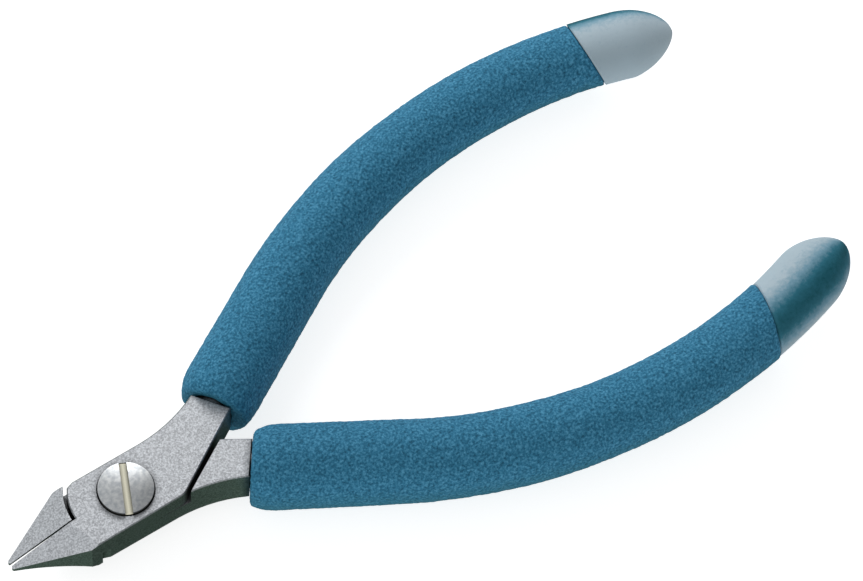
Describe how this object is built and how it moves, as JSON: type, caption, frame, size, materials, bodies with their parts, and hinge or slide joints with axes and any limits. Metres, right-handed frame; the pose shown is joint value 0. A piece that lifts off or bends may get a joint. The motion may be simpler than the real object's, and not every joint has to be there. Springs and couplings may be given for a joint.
{
  "type": "flush cutter",
  "caption": "Small hand cutter for electronics leads: lapped steel levers on a slotted pivot screw, tapered jaws that shut flush, and bowed handles in blue foam grips with clear end caps.",
  "frame": {"origin": "on the pivot axis, in the flat underside of the head", "axes": "+X from the pivot to the handles, +Y to the upper lever's handle, +Z along the pivot axis out of the slotted screw head"},
  "size_m": [0.1141, 0.0576, 0.0116],
  "materials": {
    "satin_steel": "bead-blasted satin",
    "screw_steel": "turned satin",
    "spring_steel": "drawn wire",
    "foam": "matte pebbled foam",
    "liner": "dipped matte",
    "cap": "frosted translucent"
  },
  "bodies": {
    "lower": {"lower_lever": "satin_steel", "pivot_screw": "screw_steel", "return_spring": "spring_steel", "stop_pin": "spring_steel", "lower_foam_grip": "foam", "lower_grip_liner": "liner", "lower_tip_cap": "cap"},
    "upper": {"upper_lever": "satin_steel", "upper_foam_grip": "foam", "upper_grip_liner": "liner", "upper_tip_cap": "cap"}
  },
  "joints": [
    {"name": "jaw_pivot", "type": "hinge", "parent": "lower", "child": "upper", "pos_m": [0, 0, 0.003], "axis": [0, 0, -1], "range_deg": [-7.9, 1.1], "stiffness_Nm_per_rad": 3, "deforming": ["return_spring"]}
  ]
}
